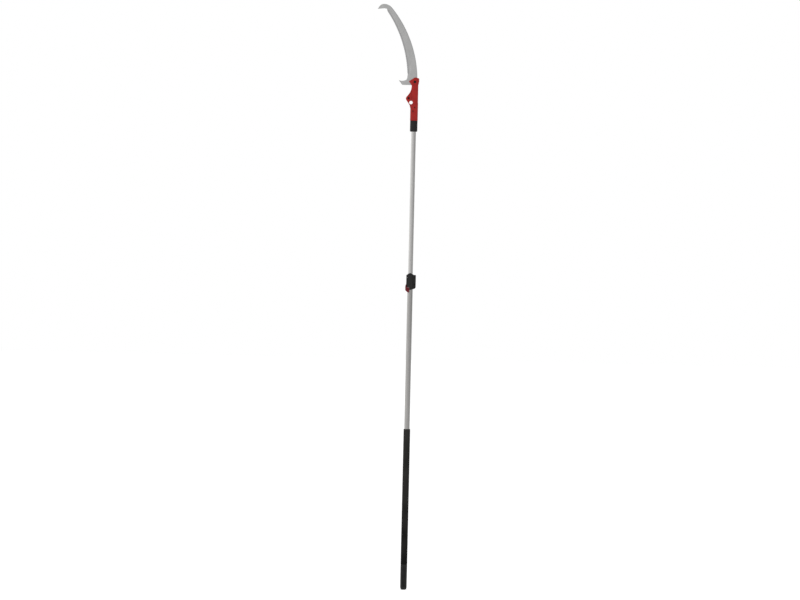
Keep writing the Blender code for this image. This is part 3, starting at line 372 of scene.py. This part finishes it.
def ground_steel(name):
    """The blade: fine grain along its curve, and bands ground across it at the teeth and spine,
    darker partly from their grinding and partly from painted shade.
    """
    made, nodes, sockets = new_material(name, {"Metallic": 1.0})
    x, z, spine_reach = from_centre(nodes, blade_point(0, SPINE_RADIUS))
    along = nodes.math("MULTIPLY", nodes.math("ARCTAN2", z, x), SPINE_RADIUS)
    inside = nodes.math("SUBTRACT", SPINE_RADIUS, spine_reach)
    curved = nodes.add("CombineXYZ", {"X": along, "Y": inside}).outputs["Vector"]

    places = [TEETH_START + TEETH_LENGTH * share for share in (0, 0.5, 1)]
    tips = [blade_point(place, width) for place, width in zip(places, BLADE_WIDTHS)]
    edge_centre, edge_radius = circle_through(*tips)
    teeth_reach = from_centre(nodes, edge_centre)[2]
    from_teeth = nodes.math("SUBTRACT", teeth_reach, edge_radius)

    teeth_end = TEETH_START + TEETH_LENGTH
    above_heel = nodes.spread(along, TEETH_START - TOOTH_BAND_HEEL_FADE, TEETH_START)
    below_tip = nodes.spread(along, teeth_end, teeth_end - TOOTH_BAND_TIP_FADE)
    teeth = nodes.within(from_teeth, TOOTH_BAND, TOOTH_BAND_BLUR)
    teeth = nodes.math("MULTIPLY", teeth, nodes.math("MULTIPLY", above_heel, below_tip))
    spine = nodes.within(inside, SPINE_BAND, SPINE_BAND_BLUR)
    band = nodes.math("MAXIMUM", teeth, nodes.math("MULTIPLY", spine, 0.7))

    grain = nodes.noise(1500, (0.015, 1, 1), detail=4, rough=0.65, place=curved)
    cross = nodes.noise(2200, (1, 0.03, 1), detail=3, rough=0.6, place=curved)
    cloud = nodes.noise(26, (0.6, 1, 1), detail=5, rough=0.6, place=curved)
    sap = nodes.noise(85, (0.5, 1, 1), detail=6, rough=0.7, place=curved)
    sap = nodes.spread(sap, 0.60, 0.74)
    body = nodes.mix(nodes.spread(cloud, 0.3, 0.7), srgb(195, 195, 194), srgb(209, 209, 208))
    body = nodes.mix(nodes.spread(grain, 0.35, 0.65, 0.0, 0.35), body, srgb(183, 183, 183))
    # The bands' darker colour is partly their cross-ground finish and partly painted shade,
    # standing for the light their tilted bevels lose.
    ground_finish_and_shade = nodes.mix(nodes.spread(cross, 0.35, 0.65), srgb(169, 169, 170), srgb(190, 190, 190))
    colour = nodes.mix(band, body, ground_finish_and_shade)
    colour = nodes.mix(nodes.math("MULTIPLY", sap, 0.16), colour, srgb(150, 146, 138))
    nodes.feed(sockets["Base Color"], colour)
    lines = nodes.mix(band, grain, cross)
    rough = nodes.math("MULTIPLY_ADD", band, 0.06, nodes.spread(lines, 0.3, 0.7, 0.26, 0.38))
    nodes.feed(sockets["Roughness"], nodes.math("MULTIPLY_ADD", sap, 0.08, rough))
    rounded_normal = nodes.edge(0.0002)[0]
    step = nodes.bump(nodes.math("SUBTRACT", 1.0, teeth), 0.00006, rounded_normal)
    nodes.feed(sockets["Normal"], nodes.bump(lines, FINE_RELIEF, step))
    return made


MATERIALS = {
    "aluminium": drawn_aluminium("drawn_aluminium", srgb(208, 207, 205), srgb(197, 196, 194)),
    "blade_steel": ground_steel("ground_steel"),
    "bright_steel": plated_steel("zinc_steel", srgb(176, 176, 172), srgb(150, 150, 147)),
    "black_steel": plated_steel(
        "black_oxide", srgb(38, 34, 34), srgb(24, 21, 21), rough=(0.34, 0.5), metallic=0.7
    ),
    "red_plastic": moulded_plastic(
        "red_plastic", srgb(171, 36, 30), srgb(155, 30, 27), srgb(190, 84, 74)
    ),
    "dark_red_plastic": moulded_plastic(
        "dark_red_plastic", srgb(107, 22, 34), srgb(91, 18, 28), srgb(146, 68, 75)
    ),
    "black_plastic": moulded_plastic(
        "black_plastic", srgb(38, 38, 37), srgb(30, 30, 30), srgb(80, 80, 79), rough=(0.52, 0.68)
    ),
    "black_rubber": foam_rubber("foam_rubber", srgb(51, 50, 48), srgb(16, 16, 15)),
}
OUTER_ALUMINIUM = drawn_aluminium("outer_aluminium", srgb(182, 180, 178), srgb(171, 170, 168))


def in_scene(name, data):
    """A new object in the scene, which holds this mesh, camera or light."""
    obj = bpy.data.objects.new(name, data)
    bpy.context.scene.collection.objects.link(obj)
    return obj


def new_piece(name, mesh, node, material=None):
    """A piece that stands for a CAD node, and takes its body and its material slot."""
    mesh.shade_smooth()
    mesh.set_sharp_from_angle(angle=PIECE_SMOOTH_ANGLE)
    mesh.materials.clear()
    mesh.materials.append(material or MATERIALS[SLOT_OF[node]])
    piece = in_scene(name, mesh)
    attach(piece, BODY_OF[node])
    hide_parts(node)


def mesh_of(name, solid):
    bmesh.ops.recalc_face_normals(solid, faces=solid.faces)
    mesh = bpy.data.meshes.new(name)
    solid.to_mesh(mesh)
    solid.free()
    return mesh


def joined(name, rows, ring=False):
    """A mesh whose rows of points are joined in turn. A ring's last row meets its first, and any
    other mesh has filled ends.
    """
    solid = bmesh.new()
    rows = [[solid.verts.new(point) for point in row] for row in rows]
    pairs = list(zip(rows, rows[1:]))
    if ring:
        pairs.append((rows[-1], rows[0]))
    for lower, upper in pairs:
        for index in range(len(lower)):
            after = (index + 1) % len(lower)
            solid.faces.new((lower[index], lower[after], upper[after], upper[index]))
    if not ring:
        solid.faces.new(reversed(rows[0]))
        solid.faces.new(rows[-1])
    return mesh_of(name, solid)


def oval_size(node):
    """The end radius and the stretch of an oval node, and its lower and upper end."""
    low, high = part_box(node)
    return high.y, 2 * (high.x - high.y), low.z, high.z


def oval(radius, stretch):
    """Points round an oval of the tubes' kind, whose ends have this radius."""
    points = []
    for side in (1, -1):
        for step in range(OVAL_STEPS + 1):
            turn = pi * (step / OVAL_STEPS - 0.5)
            points.append((side * (stretch / 2 + radius * cos(turn)), side * radius * sin(turn)))
    return points


def oval_sweep(name, profile, stretch, ring=True):
    """Carries a profile of (end radius, z) round the oval."""
    rows = [[(x, y, z) for x, y in oval(radius, stretch)] for radius, z in profile]
    return joined(name, rows, ring)


def quarter(centre, radius, start):
    """Points of a quarter turn round centre, from start in degrees."""
    turns = [radians(start + 90 * step / QUARTER_STEPS) for step in range(QUARTER_STEPS + 1)]
    return [(centre[0] + radius * cos(turn), centre[1] + radius * sin(turn)) for turn in turns]


def make_tube(node, material):
    radius, stretch, bottom, top = oval_size(node)
    bore = radius - TUBE_WALL
    profile = [
        (bore, bottom + RIM),
        (bore + RIM, bottom),
        (radius - RIM, bottom),
        (radius, bottom + RIM),
        (radius, top - RIM),
        (radius - RIM, top),
        (bore + RIM, top),
        (bore, top - RIM),
    ]
    new_piece(node + "_drawn", oval_sweep(node, profile, stretch), node, material)


def make_grip():
    """The sleeve, with rounded lips."""
    radius, stretch, bottom, top = oval_size("grip_sleeve")
    bore = oval_size("outer_tube")[0] + SEAT_GAP
    profile = [(bore, bottom)]
    profile += quarter((radius - GRIP_LIP, bottom + GRIP_LIP), GRIP_LIP, -90)
    profile += quarter((radius - GRIP_LIP, top - GRIP_LIP), GRIP_LIP, 0)
    profile += [(bore, top)]
    new_piece("grip_foam", oval_sweep("grip_foam", profile, stretch), "grip_sleeve")


def make_butt_cap():
    """The cap, with a domed end, a spigot in the tube and a recess in each face."""
    radius, stretch, _, top = oval_size("butt_cap")
    shoulder = oval_size("grip_sleeve")[2] - SEAT_GAP
    spigot = oval_size("outer_tube")[0] - TUBE_WALL - SEAT_GAP
    profile = []
    for step in range(ARC_STEPS + 1):
        turn = pi / 2 * step / ARC_STEPS
        out = BUTT_FLAT_RADIUS + (radius - BUTT_FLAT_RADIUS) * sin(turn)
        profile.append((out, BUTT_DOME_HEIGHT * (1 - cos(turn))))
    profile += [(radius, shoulder - RIM), (radius - RIM, shoulder)]
    profile += [(spigot, shoulder), (spigot, top)]
    whole = oval_sweep("butt_cap_moulded", profile, stretch, ring=False)
    cutters = [recess_cutter(side, radius, shoulder) for side in (-1, 1)]
    new_piece("butt_cap_moulded", cut(whole, cutters), "butt_cap")


def recess_cutter(side, radius, shoulder):
    """The round-ended hollow in one face of the cap, narrower at its floor."""
    bottom = BUTT_DOME_HEIGHT + RECESS_BOTTOM_MARGIN
    top = shoulder - RECESS_TOP_MARGIN
    reach = (top - bottom - RECESS_WIDTH) / 2
    slope = (RECESS_WIDTH - RECESS_FLOOR_WIDTH) / RECESS_DEPTH
    rows = []
    for depth in (-CUTTER_OVERHANG, RECESS_DEPTH):
        end_radius = (RECESS_WIDTH - slope * depth) / 2
        row = []
        for end in (1, -1):
            for step in range(ARC_STEPS + 1):
                turn = pi * step / ARC_STEPS
                z = (bottom + top) / 2 + end * (reach + end_radius * sin(turn))
                row.append((end * end_radius * cos(turn), side * (radius - depth), z))
        rows.append(row)
    return joined("recess", rows)


def cut(mesh, cutters):
    """The mesh that is left when the cutters, meshes too, are taken from this one."""
    whole = in_scene(mesh.name, mesh)
    for cutter in cutters:
        modifier = whole.modifiers.new(cutter.name, "BOOLEAN")
        modifier.operation = "DIFFERENCE"
        modifier.solver = "EXACT"
        modifier.object = in_scene(cutter.name, cutter)
    bpy.context.view_layer.update()
    graph = bpy.context.evaluated_depsgraph_get()
    left = bpy.data.meshes.new_from_object(whole.evaluated_get(graph))
    for obj in [modifier.object for modifier in whole.modifiers] + [whole]:
        bpy.data.objects.remove(obj)
    return left


def stack(name, centre, profile, ring=False):
    """A mesh of rows round an axis along Y, each by its reach, which may follow the turn, and y."""
    rows = []
    for reach, y in profile:
        row = []
        for side in range(ROUND_SIDES):
            turn = 2 * pi * side / ROUND_SIDES
            out = reach(turn) if callable(reach) else reach
            row.append((centre.x + out * cos(turn), y, centre.z + out * sin(turn)))
        rows.append(row)
    return joined(name, rows, ring)


def hexagon(across_flats, most=inf):
    """The reach of a hexagon at each turn, and nowhere more than most."""

    def reach(turn):
        return min(most, across_flats / 2 / cos((turn + pi / 6) % (pi / 3) - pi / 6))

    return reach


def nut_side(screw, nut):
    """The side of the screw's middle, along Y, on which its nut lies."""
    screw_low, screw_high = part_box(screw)
    nut_low, nut_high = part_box(nut)
    return 1 if nut_low.y + nut_high.y > screw_low.y + screw_high.y else -1


def ends_towards(side, low, high):
    """The far and the near end of a box along Y, as distances towards that side."""
    return (high.y, low.y) if side > 0 else (-low.y, -high.y)


def make_screw(node, nut):
    """A button head with a hex socket, and a chamfered shank that ends flush with its nut."""
    low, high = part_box(node)
    side = -nut_side(node, nut)
    top, tip = ends_towards(side, low, high)
    size = SCREW_SIZES[node]
    shank, crown, key = size["shank"], size["crown"], size["key"]
    radius = (high.x - low.x) / 2
    rounding = crown * CROWN_ROUNDING
    chamfer = shank * SHANK_CHAMFER
    profile = [
        (hexagon(key), top - crown * KEY_DEPTH),
        (hexagon(key), top - chamfer * KEY_MOUTH_DEPTH),
        (hexagon(key + chamfer), top),
    ]
    profile += reversed(quarter((radius - rounding, top - rounding), rounding, 0))
    profile += [(radius, top - crown), (shank, top - crown)]
    profile += [(shank, tip + chamfer), (shank - chamfer, tip)]
    mesh = stack(node, (low + high) / 2, [(reach, side * y) for reach, y in profile])
    new_piece(node + "_turned", mesh, node)


def make_nut(node, screw):
    """A hexagon whose outer corners are turned off, round a bore with a countersunk mouth."""
    low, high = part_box(node)
    side = nut_side(screw, node)
    outer, inner = ends_towards(side, low, high)
    across = high.x - low.x
    bore = SCREW_SIZES[screw]["shank"] + NUT_BORE_GAP
    corner = across / 2 / cos(pi / 6)
    face = across / 2 * NUT_FACE
    profile = [(bore + PIN_CHAMFER, outer), (bore, outer - PIN_CHAMFER), (bore, inner)]
    profile.append((hexagon(across), inner))
    for step in range(CORNER_STEPS + 1):
        reach = corner + (face - corner) * step / CORNER_STEPS
        profile.append((hexagon(across, reach), outer - (reach - face) * tan(NUT_CORNER_SLOPE)))
    rows = [(reach, side * y) for reach, y in profile]
    new_piece(node + "_cut", stack(node, (low + high) / 2, rows, ring=True), node)


def make_washer():
    low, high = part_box("blade_washer")
    bore = M6_BOLT["shank"] + SEAT_GAP
    radius = (high.x - low.x) / 2
    profile = [
        (bore, low.y),
        (radius - PIN_CHAMFER, low.y),
        (radius, low.y + PIN_CHAMFER),
        (radius, high.y - PIN_CHAMFER),
        (radius - PIN_CHAMFER, high.y),
        (bore, high.y),
    ]
    new_piece("washer_cut", stack("washer", (low + high) / 2, profile, ring=True), "blade_washer")


def make_lever_pin():
    """A pin with chamfered ends, each with the dimple of its riveting tool."""
    low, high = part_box("lever_pin")
    radius = (high.x - low.x) / 2
    profile = [
        (radius * DIMPLE_FLOOR, high.y - radius * DIMPLE_DEPTH),
        (radius * DIMPLE_MOUTH, high.y),
        (radius - PIN_CHAMFER, high.y),
        (radius, high.y - PIN_CHAMFER),
    ]
    profile += [(reach, -y) for reach, y in reversed(profile)]
    new_piece("lever_pin_turned", stack("lever_pin", (low + high) / 2, profile), "lever_pin")


def seam_face():
    """The front shell's faces in the seam, joined into one flat sheet."""
    solid = bmesh.new()
    solid.from_mesh(frame["nodes"]["head_shell_front"].data)
    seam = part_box("head_shell_front")[1].y
    others = [
        face
        for face in solid.faces
        if any(abs(vert.co.y - seam) > TONGUE_GAP for vert in face.verts)
    ]
    bmesh.ops.delete(solid, geom=others, context="FACES")
    bmesh.ops.remove_doubles(solid, verts=solid.verts, dist=SAME_POINT)
    bmesh.ops.dissolve_limit(
        solid,
        angle_limit=FLAT_ANGLE,
        verts=solid.verts,
        edges=solid.edges,
        use_dissolve_boundaries=False,
    )
    return solid


def make_seam_tongue():
    """The front shell's tongue, which closes the seam between the head's shells to light."""
    solid = seam_face()
    rim = bmesh.ops.inset_region(
        solid,
        faces=solid.faces[:],
        thickness=TONGUE_INSET,
        use_boundary=True,
        use_even_offset=True,
    )
    bmesh.ops.delete(solid, geom=rim["faces"], context="FACES")
    outline = [edge for edge in solid.edges if edge.is_boundary]
    front_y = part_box("head_shell_front")[1].y + TONGUE_GAP
    back_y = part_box("head_shell_back")[0].y - TONGUE_GAP
    behind = {}
    for vert in solid.verts[:]:
        vert.co.y = front_y
        behind[vert] = solid.verts.new((vert.co.x, back_y, vert.co.z))
    for face in solid.faces[:]:
        solid.faces.new([behind[vert] for vert in reversed(face.verts)])
    for edge in outline:
        first, second = edge.verts
        solid.faces.new((first, second, behind[second], behind[first]))
    tongue = in_scene("seam_tongue", mesh_of("seam_tongue", solid))
    tongue.data.materials.append(MATERIALS["red_plastic"])
    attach(tongue, BODY_OF["head_shell_front"])


def dress_cad_nodes():
    """Gives each CAD node its material, and smooths its round faces but not its edges."""
    for name, node in frame["nodes"].items():
        node.data.materials.clear()
        node.data.materials.append(MATERIALS[SLOT_OF[name]])
        node.data.shade_smooth()
        node.modifiers.new("weld", "WELD").merge_threshold = SAME_POINT
        node.modifiers.new("edges", "EDGE_SPLIT").split_angle = NODE_SMOOTH_ANGLE
        node.modifiers.new("flats", "WEIGHTED_NORMAL")


def make_camera():
    """Looks along +Y from far off, rolled so that the pole leans as it does in the photograph."""
    across = (BUTT_PIXEL[0] - PHOTO_WIDTH / 2) * METRES_PER_PIXEL
    down = (BUTT_PIXEL[1] - PHOTO_HEIGHT / 2) * METRES_PER_PIXEL
    x = -(across * cos(LEAN) + down * sin(LEAN))
    z = down * cos(LEAN) - across * sin(LEAN)
    distance = PHOTO_WIDTH * METRES_PER_PIXEL * LENS / SENSOR_WIDTH
    camera = in_scene("camera", bpy.data.cameras.new("camera"))
    camera.data.lens = LENS
    camera.data.sensor_width = SENSOR_WIDTH
    camera.data.clip_end = CAMERA_SIGHT
    camera.location = (x, -distance, z)
    camera.rotation_euler = (radians(90), -LEAN, 0)
    bpy.context.scene.camera = camera


def make_world():
    """White to the eye, with a plain level of light, and a studio's walls for what is glossy."""
    world = bpy.data.worlds.new("studio")
    bpy.context.scene.world = world
    world.use_nodes = True
    nodes = Nodes(world.node_tree)
    direction = nodes.add("SeparateXYZ", {"Vector": nodes.add("TexCoord").outputs["Generated"]})
    depth = nodes.spread(direction.outputs["Y"], -0.2, 0.9, FRONT_WALL, BACK_WALL)
    left = nodes.spread(direction.outputs["X"], 0.0, -0.8, 0.0, LEFT_WALL)
    right = nodes.spread(direction.outputs["X"], 0.0, 0.5, 0.0, RIGHT_WALL)
    walls = nodes.math("ADD", depth, nodes.math("ADD", left, right))
    light = nodes.choose(nodes.in_gloss(), MATT_LIGHT, walls)
    strength = nodes.choose(nodes.seen(), light, 1.0)
    background = nodes.add("Background", {"Color": (1, 1, 1, 1), "Strength": strength})
    nodes.feed(world.node_tree.nodes["World Output"].inputs["Surface"], background.outputs[0])


def make_lamp(name, place, size, power):
    """A broad lamp that faces the pole, but that nothing mirrors."""
    data = bpy.data.lights.new(name, "AREA")
    data.shape = "RECTANGLE"
    data.size, data.size_y = size
    data.energy = power
    lamp = in_scene(name, data)
    lamp.location = place
    lamp.visible_glossy = False
    lamp.rotation_euler = (Vector(LAMP_TARGET) - Vector(place)).to_track_quat("-Z", "Y").to_euler()


def make_floor():
    """A pale floor that the camera sees as white, apart from the saw's shadow."""
    made, nodes, sockets = new_material(
        "floor",
        {
            "Base Color": (0.8, 0.8, 0.8, 1),
            "Roughness": 0.9,
            "Specular IOR Level": 0.0,
            "Emission Color": (1, 1, 1, 1),
        },
    )
    glow = nodes.math("MULTIPLY", nodes.seen(), FLOOR_GLOW)
    glow = nodes.math("MULTIPLY_ADD", nodes.in_gloss(), FLOOR_GLOW_IN_GLOSS, glow)
    nodes.feed(sockets["Emission Strength"], glow)
    solid = bmesh.new()
    bmesh.ops.create_grid(solid, x_segments=1, y_segments=1, size=FLOOR_REACH)
    floor = in_scene("floor", mesh_of("floor", solid))
    floor.data.materials.append(made)


make_camera()
make_world()
make_floor()
make_lamp("window", (-3.2, -3.6, 2.6), (3.0, 4.0), 32)
make_lamp("fill", (3.0, -3.0, 2.2), (2.4, 3.0), 18)
bpy.context.scene.view_settings.view_transform = "Standard"

dress_cad_nodes()
make_tube("inner_tube", MATERIALS["aluminium"])
make_tube("outer_tube", OUTER_ALUMINIUM)
make_grip()
make_butt_cap()
for screw in SCREW_SIZES:
    nut = screw.replace("screw", "nut").replace("bolt", "nut")
    make_screw(screw, nut)
    make_nut(nut, screw)
make_washer()
make_lever_pin()
make_seam_tongue()
